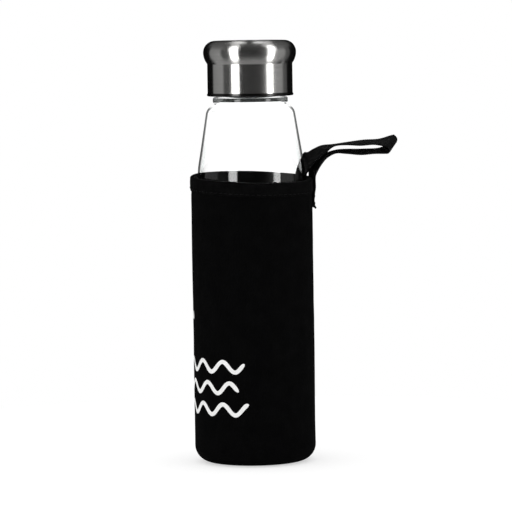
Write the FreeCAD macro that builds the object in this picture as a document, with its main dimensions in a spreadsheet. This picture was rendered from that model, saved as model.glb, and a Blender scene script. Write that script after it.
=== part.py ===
"""Glass water bottle: a glass body with a threaded neck, a steel screw cap with a moulded thread liner and a
silicone seal, and a sewn neoprene sleeve with a webbing wrist loop. Millimetres, +Z up. The origin is the centre of
the flat underside of the sleeve, on the bottle's axis. The wrist loop leaves the sleeve on the +X side."""
import FreeCAD, Part
import math
import os
import re
import Sketcher

DIMENSIONS = (
    ("sleeve_radius", 32.85, "outer radius of the neoprene tube"),
    ("sleeve_skin", 3.0, "thickness of the neoprene"),
    ("sleeve_edge", 153.7, "height of the neoprene's cut top edge"),
    ("sleeve_corner", 9.0, "outer radius of the bottom corner"),
    ("binding_skin", 0.45, "thickness of the tape folded over the top edge"),
    ("binding_drop", 7.0, "height of each leg of that tape"),
    ("touch_gap", 0.02, "gap between layers that touch"),
    ("slide_gap", 0.3, "gap between the glass and the sleeve's base"),
    ("glass_radius", 29.0, "outer radius of the glass body"),
    ("glass_skin", 2.0, "wall of the glass body"),
    ("glass_floor", 4.2, "thickness of the glass base"),
    ("glass_heel", 8.0, "outer radius of the glass bottom corner"),
    ("punt_radius", 17.0, "radius of the recess under the glass base"),
    ("punt_depth", 1.2, "depth of that recess"),
    ("punt_slope", 2.0, "width of the slope round that recess"),
    ("shoulder_foot", 157.0, "height where the glass begins to taper"),
    ("shoulder_top", 187.6, "height where the taper ends"),
    ("shoulder_radius", 24.1, "outer radius there"),
    ("shoulder_bend", 6.2, "radius of the rounded shoulder"),
    ("shoulder_skin", 2.6, "wall of the glass at the shoulder"),
    ("collar_radius", 19.4, "outer radius of the glass just under the bead"),
    ("collar_height", 193.2, "height there"),
    ("bead_radius", 20.25, "outer radius of the bead under the cap"),
    ("bead_foot", 194.2, "height of the bead's underside"),
    ("bead_top", 197.7, "height of the bead's top"),
    ("bead_round", 1.9, "radius of the bead's section"),
    ("bead_slope", 0.6, "how far the bead's top is set in from its side"),
    ("neck_radius", 18.1, "outer radius of the neck between the threads"),
    ("neck_bore", 15.0, "inner radius of the neck"),
    ("throat_rise", 1.5, "height of the foot of that bore above the collar"),
    ("lip_height", 213.4, "height of the neck's top"),
    ("lip_round", 0.9, "rounding of the lip"),
    ("thread_pitch", 4.2, "rise of the screw thread in one turn"),
    ("thread_turns", 1.5, "turns of thread"),
    ("thread_start", 202.3, "height of the middle of the glass thread at its start"),
    ("thread_rise", 0.9, "height of the glass thread above the neck"),
    ("thread_root", 0.5, "depth that a thread runs into its wall"),
    ("glass_ridge", 2.0, "width of the glass thread at the neck"),
    ("glass_crest", 1.1, "width of the glass thread at its crest"),
    ("liner_ridge", 1.4, "width of the liner's thread at its wall"),
    ("liner_crest", 0.8, "width of the liner's thread at its crest"),
    ("liner_bore", 19.3, "inner radius of the liner"),
    ("liner_foot", 198.8, "height of the liner's bottom edge"),
    ("liner_disc", 1.8, "thickness of the liner's top"),
    ("snap_rise", 0.25, "how far the liner's snap rim stands out into the crown"),
    ("snap_slope", 0.8, "height of the slope under that rim"),
    ("seal_skin", 1.6, "thickness of the silicone seal"),
    ("seal_gap", 0.08, "gap between the seal and the lip"),
    ("seal_inner", 14.6, "inner radius of the seal"),
    ("seal_outer", 18.9, "outer radius of the seal"),
    ("cap_foot", 198.1, "height of the steel cap's bottom edge"),
    ("cap_top", 227.9, "height of the steel cap's top"),
    ("cap_skin", 0.6, "thickness of the steel"),
    ("skirt_radius", 23.0, "outer radius of the cap's skirt"),
    ("crease_height", 215.5, "height of the crease between skirt and crown"),
    ("crown_height", 221.6, "height of the crown's widest line"),
    ("crown_radius", 25.1, "outer radius of the crown there"),
    ("crown_round", 6.3, "radius of the crown's upper curve"),
    ("crown_flare", 10.0, "radius of the crown's lower curve"),
    ("hem_round", 0.7, "radius of the cap's rolled bottom edge"),
    ("hem_flare", 0.35, "how far that edge stands out of the skirt"),
    ("strap_width", 15.0, "width of the webbing"),
    ("strap_skin", 1.2, "thickness of the webbing"),
    ("loop_bend", 2.1, "radius of the webbing's turn at the tip of the loop"),
    ("inner_end_foot", 140.0, "height of the lower end of the inner sewn end"),
    ("inner_end_top", 155.0, "height where the inner end leaves the wall"),
    ("outer_end_foot", 136.5, "height of the lower end of the outer sewn end"),
    ("outer_end_step", 144.6, "height where the outer end begins to step over the binding"),
    ("outer_end_ledge", 146.4, "height where it lies on the binding"),
    ("outer_end_top", 153.5, "height where the outer end leaves the wall"),
    ("inner_end_turn", 22.0, "degrees round the axis to the middle of the inner sewn end"),
    ("outer_end_turn", 12.0, "degrees round the axis to the middle of the outer sewn end"),
    ("pocket_foot", 139.0, "height of the bottom of the hollow for the inner sewn end"),
    ("pocket_radius", 30.62, "radius of the back of that hollow"),
    ("pocket_width", 15.6, "width of that hollow"),
    ("pocket_depth", 6.0, "how far in from its back that hollow is cut"),
    ("pocket_spare", 1.0, "how far that cut runs on above the binding"),
    ("thread_thickness", 0.4, "diameter of the sewing thread"),
    ("rim_stitch", 2.2, "length of a stitch round the rim"),
    ("rim_step", 3.0, "spacing of those stitches"),
    ("rim_stitch_rise", 1.2, "height of those stitches above the binding's lower edge"),
    ("rim_stitch_gap", 1.5, "gap between those stitches and the webbing"),
    ("seam_stitch", 3.4, "length of a stitch across a seam"),
    ("seam_step", 2.6, "spacing of those stitches"),
    ("seam_margin", 3.0, "gap between the side seam's stitches and the corner, and the webbing"),
    ("zigzag_lean", 0.35, "rise of a zigzag stitch for each millimetre across"),
    ("stitch_lift", 0.06, "how far a straight stitch stands off a round face, so that its ends clear it"),
    ("seam_hollow", 0.3, "how far a straight stitch stands off the hollow corner"),
    ("side_seam_turn", 14.0, "degrees round the axis to the side seam"),
    ("tack_stitch", 1.8, "length of a stitch of the bar tacks"),
    ("tack_step", 1.6, "spacing of those stitches"),
    ("tack_height", 139.2, "height of the middle of the lower bar tack"),
    ("tack_rise", 4.0, "rise from one bar tack to the next"),
    ("ink_skin", 0.12, "thickness of the printed ink"),
    ("ink_stroke", 2.3, "width of a printed line"),
    ("wave_swing", 2.8, "height of a printed wave's crest above its middle"),
    ("wave_turn", 26.0, "degrees round the axis that one wave takes"),
    ("drop_radius", 1.7, "radius of a printed drop"),
    ("drop_height", 80.0, "height of the middle of a printed drop"),
    ("drop_turn", -205.0, "degrees round the axis to the first drop"),
    ("drop_step", 17.0, "degrees from one drop to the next"),
)

doc = FreeCAD.newDocument("water_bottle")
dims = doc.addObject("Spreadsheet::Sheet", "dims")
for row, (alias, number, note) in enumerate(DIMENSIONS, start=1):
    dims.set(f"A{row}", alias)
    dims.set(f"B{row}", str(number))
    dims.setAlias(f"B{row}", alias)
    dims.set(f"C{row}", note)
doc.recompute()


def bound(text):
    """The same formula with each name pointing at its cell."""
    return re.sub(r"\b[a-z]\w*\b(?!\()", r"dims.\g<0>", text)


def value(text):
    """The number that a formula of cell names gives."""
    return float(dims.evalExpression(bound(text)))


def new_body(name):
    body = doc.addObject("PartDesign::Body", name)
    body.Label = name
    return body


def new_sketch(body, name, role, lift="0", turn="0"):
    """An empty sketch on one of the body's own planes, lifted along and turned about the plane's normal."""
    plane = next(item for item in body.Origin.OriginFeatures if item.Role == role)
    sketch = body.newObject("Sketcher::SketchObject", name)
    sketch.AttachmentSupport = [(plane, "")]
    sketch.MapMode = "FlatFace"
    if lift != "0":
        sketch.setExpression("AttachmentOffset.Base.z", bound(lift))
    if turn != "0":
        sketch.AttachmentOffset = FreeCAD.Placement(FreeCAD.Vector(), FreeCAD.Rotation(FreeCAD.Vector(0, 0, 1), 1))
        sketch.setExpression("AttachmentOffset.Rotation.Angle", bound(turn))
    return sketch


def pin(sketch, kind, edge, end, text):
    """Holds one coordinate of an edge's end at a formula, or on the axis when the formula is 0."""
    if text == "0":
        sketch.addConstraint(Sketcher.Constraint("PointOnObject", edge, end, -2 if kind == "DistanceX" else -1))
        return
    index = sketch.addConstraint(Sketcher.Constraint(kind, -1, 1, edge, end, value(text)))
    sketch.setExpression(f"Constraints[{index}]", bound(text))


def arc_between(here, there, radius, side):
    """The short arc from here to there, with its centre on the named side of the way."""
    way = there - here
    normal = FreeCAD.Vector(-way.y, way.x, 0).normalize()
    if side == "right":
        normal = normal * -1
    centre = (here + there) * 0.5 + normal * math.sqrt(max(radius**2 - (way.Length / 2) ** 2, 0.0))
    first, last = (here, there) if side == "left" else (there, here)
    begin = math.atan2(first.y - centre.y, first.x - centre.x)
    end = math.atan2(last.y - centre.y, last.x - centre.x)
    if end < begin:
        end += 2 * math.pi
    return Part.ArcOfCircle(Part.Circle(centre, FreeCAD.Vector(0, 0, 1), radius), begin, end)


def outline(sketch, corners):
    """Draws a closed outline of lines and arcs. A corner is (x, y), or (x, y, radius, side) where an arc leaves it."""
    spots = [FreeCAD.Vector(value(corner[0]), value(corner[1]), 0) for corner in corners]
    ends = []
    for index, corner in enumerate(corners):
        here = spots[index]
        there = spots[(index + 1) % len(spots)]
        if len(corner) == 2:
            edge = sketch.addGeometry(Part.LineSegment(here, there), False)
            ends.append((edge, 1, 2))
        else:
            edge = sketch.addGeometry(arc_between(here, there, value(corner[2]), corner[3]), False)
            ends.append((edge, 1, 2) if corner[3] == "left" else (edge, 2, 1))
    for index, (edge, first, last) in enumerate(ends):
        following = ends[(index + 1) % len(ends)]
        sketch.addConstraint(Sketcher.Constraint("Coincident", edge, last, following[0], following[1]))
    for (edge, first, last), corner in zip(ends, corners):
        pin(sketch, "DistanceX", edge, first, corner[0])
        pin(sketch, "DistanceY", edge, first, corner[1])
        if len(corner) == 4:
            index = sketch.addConstraint(Sketcher.Constraint("Radius", edge, value(corner[2])))
            sketch.setExpression(f"Constraints[{index}]", bound(corner[2]))


def revolve(body, corners):
    """A solid of revolution about Z, from an outline of radius and height."""
    sketch = new_sketch(body, f"{body.Name}_outline", "XZ_Plane")
    outline(sketch, corners)
    solid = body.newObject("PartDesign::Revolution", f"{body.Name}_turned")
    solid.Profile = sketch
    solid.ReferenceAxis = (sketch, ["V_Axis"])
    solid.Angle = 360
    doc.recompute()
    return solid


def thread(body, corners):
    """A ridge that follows the screw thread, from an outline of radius and height at its start."""
    sketch = new_sketch(body, f"{body.Name}_thread_outline", "XZ_Plane")
    outline(sketch, corners)
    ridge = body.newObject("PartDesign::AdditiveHelix", f"{body.Name}_thread")
    ridge.Profile = sketch
    ridge.ReferenceAxis = (sketch, ["V_Axis"])
    ridge.Mode = 0
    ridge.setExpression("Pitch", bound("thread_pitch"))
    ridge.setExpression("Height", bound("thread_pitch * thread_turns"))
    doc.recompute()
    return ridge


def make_glass_bottle():
    body = new_body("glass_bottle")
    revolve(
        body,
        (
            ("0", "sleeve_skin + slide_gap + punt_depth"),
            ("punt_radius", "sleeve_skin + slide_gap + punt_depth"),
            ("punt_radius + punt_slope", "sleeve_skin + slide_gap"),
            ("glass_radius - glass_heel", "sleeve_skin + slide_gap", "glass_heel", "left"),
            ("glass_radius", "sleeve_skin + slide_gap + glass_heel"),
            ("glass_radius", "shoulder_foot"),
            ("shoulder_radius", "shoulder_top", "shoulder_bend", "left"),
            ("collar_radius", "collar_height"),
            ("collar_radius", "bead_foot", "bead_round", "left"),
            ("bead_radius - bead_slope", "bead_top"),
            ("neck_radius", "bead_top"),
            ("neck_radius", "lip_height - lip_round", "lip_round", "left"),
            ("neck_radius - lip_round", "lip_height"),
            ("neck_bore + lip_round", "lip_height", "lip_round", "left"),
            ("neck_bore", "lip_height - lip_round"),
            ("neck_bore", "collar_height + throat_rise"),
            ("shoulder_radius - shoulder_skin", "shoulder_top - glass_skin"),
            ("glass_radius - glass_skin", "shoulder_foot"),
            ("glass_radius - glass_skin", "glass_floor + glass_heel", "glass_heel - glass_skin", "right"),
            ("glass_radius - glass_heel", "glass_floor + glass_skin"),
            ("0", "glass_floor + glass_skin"),
        ),
    )
    thread(
        body,
        (
            ("neck_radius - thread_root", "thread_start - glass_ridge / 2"),
            ("neck_radius", "thread_start - glass_ridge / 2"),
            ("neck_radius + thread_rise", "thread_start - glass_crest / 2"),
            ("neck_radius + thread_rise", "thread_start + glass_crest / 2"),
            ("neck_radius", "thread_start + glass_ridge / 2"),
            ("neck_radius - thread_root", "thread_start + glass_ridge / 2"),
        ),
    )
    return body


def make_cap_seal():
    body = new_body("cap_seal")
    foot = "lip_height + seal_gap"
    top = "lip_height + seal_gap + seal_skin"
    revolve(body, (("seal_inner", foot), ("seal_outer", foot), ("seal_outer", top), ("seal_inner", top)))
    return body


def make_cap_liner():
    body = new_body("cap_liner")
    ceiling = "lip_height + seal_gap + seal_skin + touch_gap"
    wall = "skirt_radius - cap_skin - touch_gap"
    revolve(
        body,
        (
            ("0", ceiling),
            ("liner_bore", ceiling),
            ("liner_bore", "liner_foot"),
            (wall, "liner_foot"),
            (wall, "crease_height"),
            (f"{wall} + snap_rise", "crease_height + snap_slope"),
            (f"{wall} + snap_rise", f"{ceiling} + liner_disc"),
            ("0", f"{ceiling} + liner_disc"),
        ),
    )
    start = "thread_start - thread_pitch / 2"
    thread(
        body,
        (
            ("liner_bore + thread_root", f"{start} - liner_ridge / 2"),
            ("liner_bore + thread_root", f"{start} + liner_ridge / 2"),
            ("liner_bore", f"{start} + liner_ridge / 2"),
            ("liner_bore - thread_rise", f"{start} + liner_crest / 2"),
            ("liner_bore - thread_rise", f"{start} - liner_crest / 2"),
            ("liner_bore", f"{start} - liner_ridge / 2"),
        ),
    )
    return body


def make_cap_shell():
    body = new_body("cap_shell")
    hem_middle = "skirt_radius + hem_flare - hem_round"
    revolve(
        body,
        (
            ("skirt_radius - cap_skin", "cap_foot"),
            (hem_middle, "cap_foot", "hem_round", "left"),
            ("skirt_radius", "cap_foot + hem_round + sqrt(hem_round * hem_round - (hem_round - hem_flare)^2)"),
            ("skirt_radius", "crease_height", "crown_flare", "left"),
            ("crown_radius", "crown_height", "crown_round", "left"),
            ("crown_radius - crown_round", "cap_top"),
            ("0", "cap_top"),
            ("0", "cap_top - cap_skin"),
            ("crown_radius - crown_round", "cap_top - cap_skin", "crown_round - cap_skin", "right"),
            ("crown_radius - cap_skin", "crown_height", "crown_flare - cap_skin", "right"),
            ("skirt_radius - cap_skin", "crease_height"),
        ),
    )
    return body


def make_sleeve_wall():
    body = new_body("sleeve_wall")
    half = "sqrt(0.5)"
    inner = "(sleeve_corner - sleeve_skin)"
    centre = "sleeve_radius - sleeve_corner"
    revolve(
        body,
        (
            (f"{centre} + sleeve_corner * {half}", f"sleeve_corner - sleeve_corner * {half}", "sleeve_corner", "left"),
            ("sleeve_radius", "sleeve_corner"),
            ("sleeve_radius", "sleeve_edge"),
            ("sleeve_radius - sleeve_skin", "sleeve_edge"),
            ("sleeve_radius - sleeve_skin", "sleeve_corner", inner, "right"),
            (f"{centre} + {inner} * {half}", f"sleeve_corner - {inner} * {half}"),
        ),
    )
    cut_strap_hollow(body)
    return body


def cut_strap_hollow(body):
    """Presses the hollow for the webbing's inner end into a piece of the sleeve's inner side."""
    sketch = new_sketch(body, f"{body.Name}_hollow", "XY_Plane", lift="pocket_foot", turn="inner_end_turn")
    reach = "sqrt(pocket_radius^2 - pocket_width^2 / 4)"
    inside = "pocket_radius - pocket_depth"
    outline(
        sketch,
        (
            (inside, "-pocket_width / 2"),
            (reach, "-pocket_width / 2", "pocket_radius", "left"),
            (reach, "pocket_width / 2"),
            (inside, "pocket_width / 2"),
        ),
    )
    before = body.Shape.Volume
    hollow = body.newObject("PartDesign::Pocket", f"{body.Name}_strap_hollow")
    hollow.Profile = sketch
    hollow.Reversed = True
    hollow.setExpression("Length", bound("sleeve_edge + binding_skin + pocket_spare - pocket_foot"))
    doc.recompute()
    if not body.Shape.Volume < before:
        raise RuntimeError(f"the hollow in {body.Name} cut nothing")


def make_sleeve_base():
    body = new_body("sleeve_base")
    half = "sqrt(0.5)"
    inner = "(sleeve_corner - sleeve_skin)"
    centre = "sleeve_radius - sleeve_corner"
    revolve(
        body,
        (
            ("0", "0"),
            (centre, "0", "sleeve_corner", "left"),
            (f"{centre} + sleeve_corner * {half}", f"sleeve_corner - sleeve_corner * {half}"),
            (f"{centre} + {inner} * {half}", f"sleeve_corner - {inner} * {half}", inner, "right"),
            (centre, "sleeve_skin"),
            ("0", "sleeve_skin"),
        ),
    )
    return body


def make_rim_binding():
    body = new_body("rim_binding")
    outer = "sleeve_radius + touch_gap"
    inner = "sleeve_radius - sleeve_skin - touch_gap"
    foot = "sleeve_edge - binding_drop"
    top = "sleeve_edge + touch_gap"
    revolve(
        body,
        (
            (outer, foot),
            (f"{outer} + binding_skin", foot),
            (f"{outer} + binding_skin", top, "binding_skin", "left"),
            (outer, f"{top} + binding_skin"),
            (inner, f"{top} + binding_skin", "binding_skin", "left"),
            (f"{inner} - binding_skin", top),
            (f"{inner} - binding_skin", foot),
            (inner, foot),
            (inner, top),
            (outer, top),
        ),
    )
    cut_strap_hollow(body)
    return body


def on_circle(radius, degrees, height):
    angle = math.radians(degrees)
    return FreeCAD.Vector(radius * math.cos(angle), radius * math.sin(angle), height)


def sewn_stations(radius, degrees, *heights):
    """Stations of webbing that lies on the sleeve at the named heights, bent to its round wall."""
    across = on_circle(1, degrees + 90, 0)
    hollow = value("strap_width") ** 2 / (8 * radius)
    return [(on_circle(radius, degrees, value(height)), across, hollow) for height in heights]


def station(x, y, z, across_x, across_y, across_z):
    """A station of free webbing: its middle and the way across it."""
    return (FreeCAD.Vector(x, y, z), FreeCAD.Vector(across_x, across_y, across_z).normalize(), 0.0)


def strip(stations, width, skin):
    """A flat strip through its stations, each with its middle, the way across it, and how far it is hollowed."""
    half_width = width / 2
    half_skin = skin / 2
    sections = []
    for index, (middle, across, hollow) in enumerate(stations):
        before = stations[max(index - 1, 0)][0]
        after = stations[min(index + 1, len(stations) - 1)][0]
        normal = across.cross(after - before).normalize()
        side = across * half_width
        dip = normal * -hollow
        rise = normal * half_skin
        near_arc = edge_through(middle - side + dip - rise, middle - rise, middle + side + dip - rise)
        far_arc = edge_through(middle + side + dip + rise, middle + rise, middle - side + dip + rise)
        ends = [near_arc.lastVertex().Point, far_arc.firstVertex().Point]
        starts = [far_arc.lastVertex().Point, near_arc.firstVertex().Point]
        sections.append(Part.Wire([near_arc, Part.makeLine(*ends), far_arc, Part.makeLine(*starts)]))
    return Part.makeLoft(sections, True, True)


def edge_through(first, middle, last):
    """An arc through three points, or a line when they are in line."""
    if (first + last - middle * 2).Length < 1e-6:
        return Part.makeLine(first, last)
    return Part.Arc(first, middle, last).toShape()


def webbing(stations):
    return strip(stations, value("strap_width"), value("strap_skin"))


def strap_inner_end():
    """The webbing inside the wall, and the start of its bend over the rim."""
    radius = value("pocket_radius - touch_gap - strap_skin / 2")
    sewn = sewn_stations(radius, value("inner_end_turn"), "inner_end_foot", "inner_end_top")
    bend = [
        station(28.6, 10.6, 158.6, -0.35, 0.93, 0.1),
        station(30.9, 9.6, 161.9, -0.33, 0.91, 0.24),
        station(33.2, 8.9, 164.1, -0.29, 0.91, 0.29),
    ]
    return webbing(sewn + bend)


def strap_outer_end():
    """The webbing sewn to the outside of the wall and over the binding, and the start of its bend."""
    low = value("sleeve_radius + touch_gap + strap_skin / 2")
    high = value("sleeve_radius + 2 * touch_gap + binding_skin + strap_skin / 2")
    turn = value("outer_end_turn")
    on_wall = sewn_stations(low, turn, "outer_end_foot", "outer_end_step")
    on_binding = sewn_stations(high, turn, "outer_end_ledge", "outer_end_top")
    bend = [station(34.2, 6.7, 157.6, -0.2, 0.98, 0.0), station(36.4, 6.2, 161.3, -0.15, 0.985, 0.04)]
    return webbing(on_wall + on_binding + bend)


def strap_loop():
    """The free loop: the upper run from the sleeve, a tight turn at the tip, and the lower run back."""
    upper = [
        station(35.6, 8.2, 166.1, -0.23, 0.92, 0.29),
        station(39.6, 7.4, 168.4, -0.1, 0.97, 0.17),
        station(45.0, 6.4, 170.3, 0.0, 1.0, 0.0),
        station(52.0, 5.0, 171.2, 0.08, 0.99, 0.03),
        station(60.0, 3.0, 171.6, 0.15, 0.97, 0.14),
        station(68.0, 0.6, 171.9, 0.22, 0.94, 0.25),
    ]
    lower = [
        station(68.0, 0.6, 167.3, 0.22, 0.94, 0.25),
        station(60.0, 2.6, 166.7, 0.15, 0.97, 0.2),
        station(52.0, 4.2, 167.0, 0.07, 0.99, 0.1),
        station(46.0, 4.9, 166.9, 0.0, 1.0, 0.04),
        station(40.4, 5.7, 164.5, -0.08, 0.99, 0.04),
    ]
    centre = FreeCAD.Vector(74.6, -1.6, 170.3)
    across = FreeCAD.Vector(0.31, 0.87, 0.37).normalize()
    up = FreeCAD.Vector(0, 0, 1)
    up = (up - across * up.dot(across)).normalize()
    out = across.cross(up)
    tip = []
    for degrees in range(90, -91, -30):
        angle = math.radians(degrees)
        reach = (out * math.cos(angle) + up * math.sin(angle)) * value("loop_bend")
        tip.append((centre + reach, across, 0.0))
    return webbing(upper + tip + lower)


def bar(middle, way, length):
    """One straight stitch."""
    start = middle - way * (length / 2)
    return Part.makeCylinder(value("thread_thickness") / 2, length, start, way)


def rim_stitches():
    """Stitches round the outer leg of the binding, left out where the webbing covers it."""
    radius = value("sleeve_radius + 2 * touch_gap + binding_skin + thread_thickness / 2")
    height = value("sleeve_edge - binding_drop + rim_stitch_rise")
    count = round(2 * math.pi * radius / value("rim_step"))
    length = math.degrees(value("rim_stitch") / radius)
    clear = math.degrees(value("strap_width / 2 + rim_stitch_gap") / radius)
    stitches = []
    for index in range(count):
        middle = 360 * index / count
        if abs((middle - value("outer_end_turn") + 180) % 360 - 180) > clear:
            ring = Part.makeTorus(
                radius,
                value("thread_thickness") / 2,
                FreeCAD.Vector(0, 0, height),
                FreeCAD.Vector(0, 0, 1),
                0,
                360,
                length,
            )
            ring.rotate(FreeCAD.Vector(), FreeCAD.Vector(0, 0, 1), middle)
            stitches.append(ring)
    return Part.makeCompound(stitches)


def side_seam_stitches():
    """Zigzag stitches up the side seam, from the corner to the outer sewn end."""
    radius = value("sleeve_radius + touch_gap + thread_thickness / 2 + stitch_lift")
    turn = value("side_seam_turn")
    across = on_circle(1, turn + 90, 0)
    foot = value("sleeve_corner + seam_margin")
    count = int(value("outer_end_foot - seam_margin - sleeve_corner - seam_margin") / value("seam_step"))
    stitches = []
    for index in range(count):
        lean = value("zigzag_lean") * (1 if index % 2 else -1)
        way = (across + FreeCAD.Vector(0, 0, lean)).normalize()
        stitches.append(bar(on_circle(radius, turn, foot + index * value("seam_step")), way, value("seam_stitch")))
    return Part.makeCompound(stitches)


def base_seam_stitches():
    """Stitches across the seam between the wall and the base, inside the bottom corner, because the sleeve is sewn
    inside out and then turned."""
    reach = value("sleeve_corner - sleeve_skin - thread_thickness / 2 - seam_hollow") * math.sqrt(0.5)
    radius = value("sleeve_radius - sleeve_corner") + reach
    height = value("sleeve_corner") - reach
    count = round(2 * math.pi * radius / value("seam_step"))
    stitches = []
    for index in range(count):
        degrees = 360 * index / count
        way = on_circle(1, degrees, 1) * math.sqrt(0.5)
        stitches.append(bar(on_circle(radius, degrees, height), way, value("seam_stitch")))
    return Part.makeCompound(stitches)


def strap_tack_stitches():
    """Two bar tacks across the outer sewn end, each of stitches side by side."""
    radius = value("sleeve_radius + 2 * touch_gap + strap_skin + thread_thickness / 2 + stitch_lift")
    step = math.degrees(value("tack_step") / radius)
    stitches = []
    for row in range(2):
        height = value("tack_height") + row * value("tack_rise")
        for place in range(-3, 4):
            middle = on_circle(radius, value("outer_end_turn") + place * step, height)
            stitches.append(bar(middle, FreeCAD.Vector(0, 0, 1), value("tack_stitch")))
    return Part.makeCompound(stitches)


def printed_motif():
    """A generic water motif on the front left of the sleeve: three wavy lines and a row of drops above them."""
    radius = value("sleeve_radius + 2 * touch_gap + ink_skin / 2")
    swing = value("wave_swing")
    wave_turn = value("wave_turn")
    steps = 12
    waves_drawn = ((31.0, -206, 4.25), (42.5, -199, 3.6), (54.0, -206, 4.1))  # height, first turn, number of waves
    pieces = []
    for height, first, waves in waves_drawn:
        stations = []
        for index in range(round(waves * steps) + 1):
            phase = 2 * math.pi * index / steps
            slope = swing * math.cos(phase) * 2 * math.pi / (math.radians(wave_turn) * radius)
            degrees = first + wave_turn * index / steps
            along = on_circle(1, degrees + 90, slope).normalize()
            outward = on_circle(1, degrees, 0)
            stations.append((on_circle(radius, degrees, height + swing * math.sin(phase)), outward.cross(along), 0.0))
        pieces.append(strip(stations, value("ink_stroke"), value("ink_skin")))
    for index in range(3):
        degrees = value("drop_turn") + index * value("drop_step")
        face = on_circle(value("sleeve_radius + touch_gap"), degrees, value("drop_height"))
        pieces.append(Part.makeCylinder(value("drop_radius"), value("ink_skin"), face, on_circle(1, degrees, 0)))
    return Part.makeCompound(pieces)


def make_shaped(name, shape):
    """A sub-part whose shape is built from the sheet's sizes."""
    feature = doc.addObject("Part::Feature", name)
    feature.Label = name
    feature.Shape = shape
    feature.Placement = FreeCAD.Placement()
    return feature


def main():
    nodes = [
        make_glass_bottle(),
        make_cap_seal(),
        make_cap_liner(),
        make_cap_shell(),
        make_sleeve_wall(),
        make_sleeve_base(),
        make_rim_binding(),
    ]
    for build in (
        strap_inner_end,
        strap_outer_end,
        strap_loop,
        rim_stitches,
        side_seam_stitches,
        base_seam_stitches,
        strap_tack_stitches,
        printed_motif,
    ):
        nodes.append(make_shaped(build.__name__, build()))
    doc.recompute()
    for item in doc.Objects:
        if "Invalid" in item.State or "Error" in item.State:
            raise RuntimeError(f"{item.Name}: {item.State}")
    for node in nodes:
        if node.Shape.isNull() or not node.Shape.isValid():
            raise RuntimeError(f"{node.Label} is not a valid shape")
    os.makedirs("parts", exist_ok=True)
    for node in nodes:
        node.Shape.exportStep(f"parts/{node.Label}.step")
        box = node.Shape.BoundBox
        print(f"{node.Label:22s} {len(node.Shape.Solids):3d} solids {node.Shape.Volume:10.1f} mm3", end="  ")
        print(f"x {box.XMin:.2f} {box.XMax:.2f}  y {box.YMin:.2f} {box.YMax:.2f}  z {box.ZMin:.2f} {box.ZMax:.2f}")


main()
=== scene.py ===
"""The looks of a glass water bottle with a steel screw cap and a neoprene sleeve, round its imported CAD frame.
The frame is in metres. The sizes here are in millimetres, and MM turns them into metres. The axis is Z."""
import bpy
import math
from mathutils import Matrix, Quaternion, Vector, noise


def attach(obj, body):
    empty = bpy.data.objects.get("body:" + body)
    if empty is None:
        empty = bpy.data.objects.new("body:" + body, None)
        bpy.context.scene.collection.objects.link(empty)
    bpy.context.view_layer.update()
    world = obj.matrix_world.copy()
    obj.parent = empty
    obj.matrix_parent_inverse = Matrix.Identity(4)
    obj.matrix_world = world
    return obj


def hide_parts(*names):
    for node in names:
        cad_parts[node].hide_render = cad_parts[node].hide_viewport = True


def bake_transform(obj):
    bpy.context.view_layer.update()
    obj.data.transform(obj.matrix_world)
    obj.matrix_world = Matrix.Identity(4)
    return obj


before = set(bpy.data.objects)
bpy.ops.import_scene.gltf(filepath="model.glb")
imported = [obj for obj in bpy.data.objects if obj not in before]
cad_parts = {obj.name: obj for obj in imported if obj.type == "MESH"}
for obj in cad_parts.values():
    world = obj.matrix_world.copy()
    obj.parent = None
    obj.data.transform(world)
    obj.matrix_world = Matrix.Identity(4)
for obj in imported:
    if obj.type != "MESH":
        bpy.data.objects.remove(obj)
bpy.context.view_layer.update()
MM = 0.001

# Sizes in millimetres. A name with TURN is degrees round the axis from +X.
SLEEVE_RADIUS = 32.85
SLEEVE_SKIN = 3.0
SLEEVE_INNER = SLEEVE_RADIUS - SLEEVE_SKIN
SLEEVE_EDGE = 153.7
SLEEVE_CORNER = 9.0
BINDING_DROP = 7.0
GLASS_RADIUS = 29.0
GLASS_SKIN = 1.7
GLASS_FOOT = 3.35
PUNT_HEIGHT = 4.5
SHOULDER_FOOT = 158.3
WAIST_RADIUS = 19.35
BEAD_RADIUS = 20.25
BEAD_FOOT = 194.6
BEAD_TOP = 197.0
NECK_RADIUS = 18.1
NECK_BORE = 15.0
NECK_FOOT = 198.1
LIP_HEIGHT = 213.4
THREAD_PITCH = 4.2
THREAD_START = 202.3
THREAD_RISE = 0.9
LINER_BORE = 19.3
LINER_FOOT = 198.85
LINER_CEILING = 215.12
LINER_TOP = 216.9
SEAL_INNER = 14.64
SEAL_OUTER = 18.86
SKIRT_RADIUS = 23.0
CREASE_HEIGHT = 215.5
CROWN_HEIGHT = 221.6
CROWN_RADIUS = 25.1
CROWN_ROUND = 6.3
CROWN_FLARE = 10.0
CAP_FOOT = 198.1
CAP_TOP = 227.9
CAP_SKIN = 0.6
HEM_TOP = 199.75
HEM_ROUND = 0.72
STRAP_WIDTH = 15.0
STRAP_SKIN = 1.2
STRAP_GAP = 0.08
YARN_WIDTH = 1.25
YARN_STEP = 1.15
KNIT_WALE = 0.9
KNIT_COURSE = 0.7
INNER_END_TURN = 22.0
OUTER_END_TURN = 12.0
SEAM_TURN = 14.0
FLOOR_RADIUS = 300.0

# Shares and counts.
RIM_FALL = 0.034
RIM_RISE = 0.052
THREAD_TURNS = 1.5
WALL_BEND = 1.003
GLASS_BEND = 1.5


# Shapes

def clamp(value, low=0.0, high=1.0):
    """The value, held between low and high."""
    return max(low, min(high, value))


def smooth(low, high, value):
    """A smooth step from 0 at low to 1 at high."""
    share = clamp((value - low) / (high - low))
    return share * share * (3 - 2 * share)


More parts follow.
